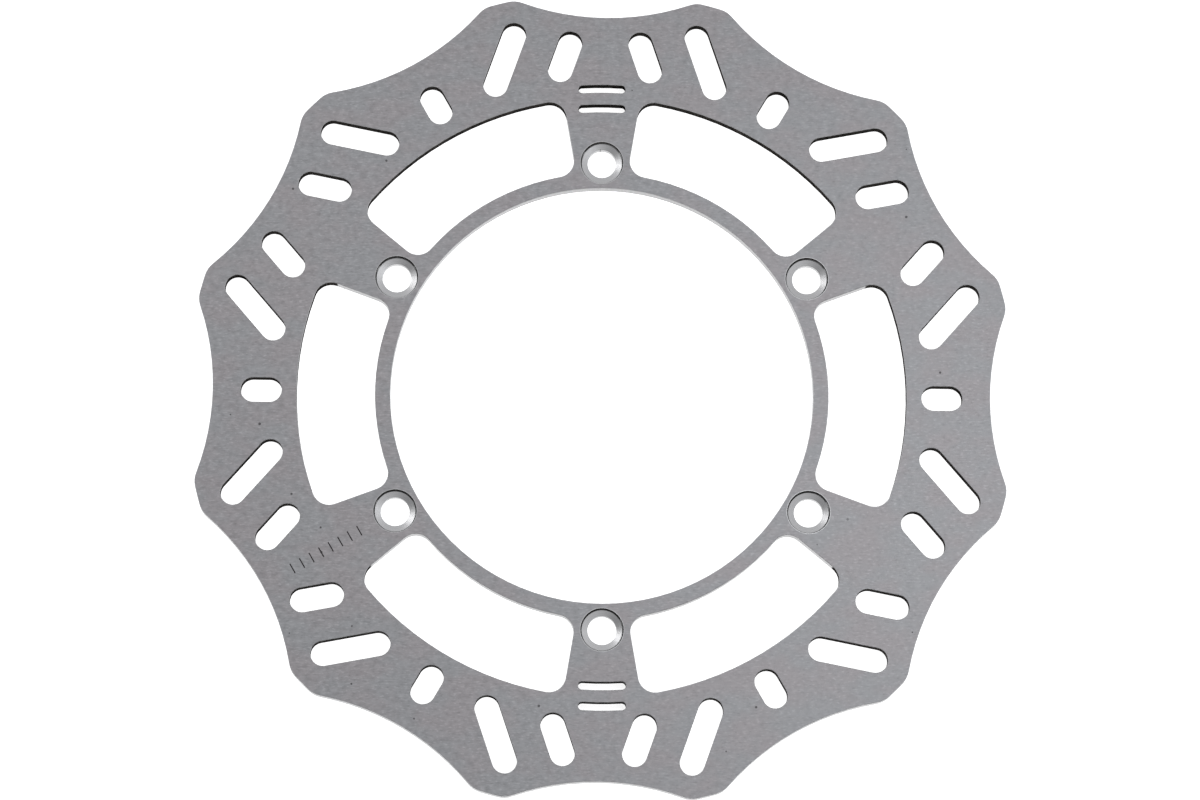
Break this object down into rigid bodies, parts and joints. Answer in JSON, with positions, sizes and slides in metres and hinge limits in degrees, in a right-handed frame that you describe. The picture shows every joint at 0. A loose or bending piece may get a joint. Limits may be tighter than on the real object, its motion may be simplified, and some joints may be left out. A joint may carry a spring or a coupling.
{
  "type": "brake disc",
  "caption": "Flat one-piece motorcycle brake disc with a wavy rim, slotted pad track, spokes and sunk bolt seats round an open bore.",
  "frame": {"origin": "centre of the bore on the face that rests against the wheel hub", "axes": "+Z along the spin axis, out of the face that the bolt heads sit in; +Y through the centre of one bolt hole"},
  "size_m": [0.239, 0.239, 0.004],
  "materials": {
    "disc_steel": "surface-ground stainless steel with a fine straight grain"
  },
  "bodies": {
    "root": {"brake_disc": "disc_steel"}
  },
  "joints": []
}
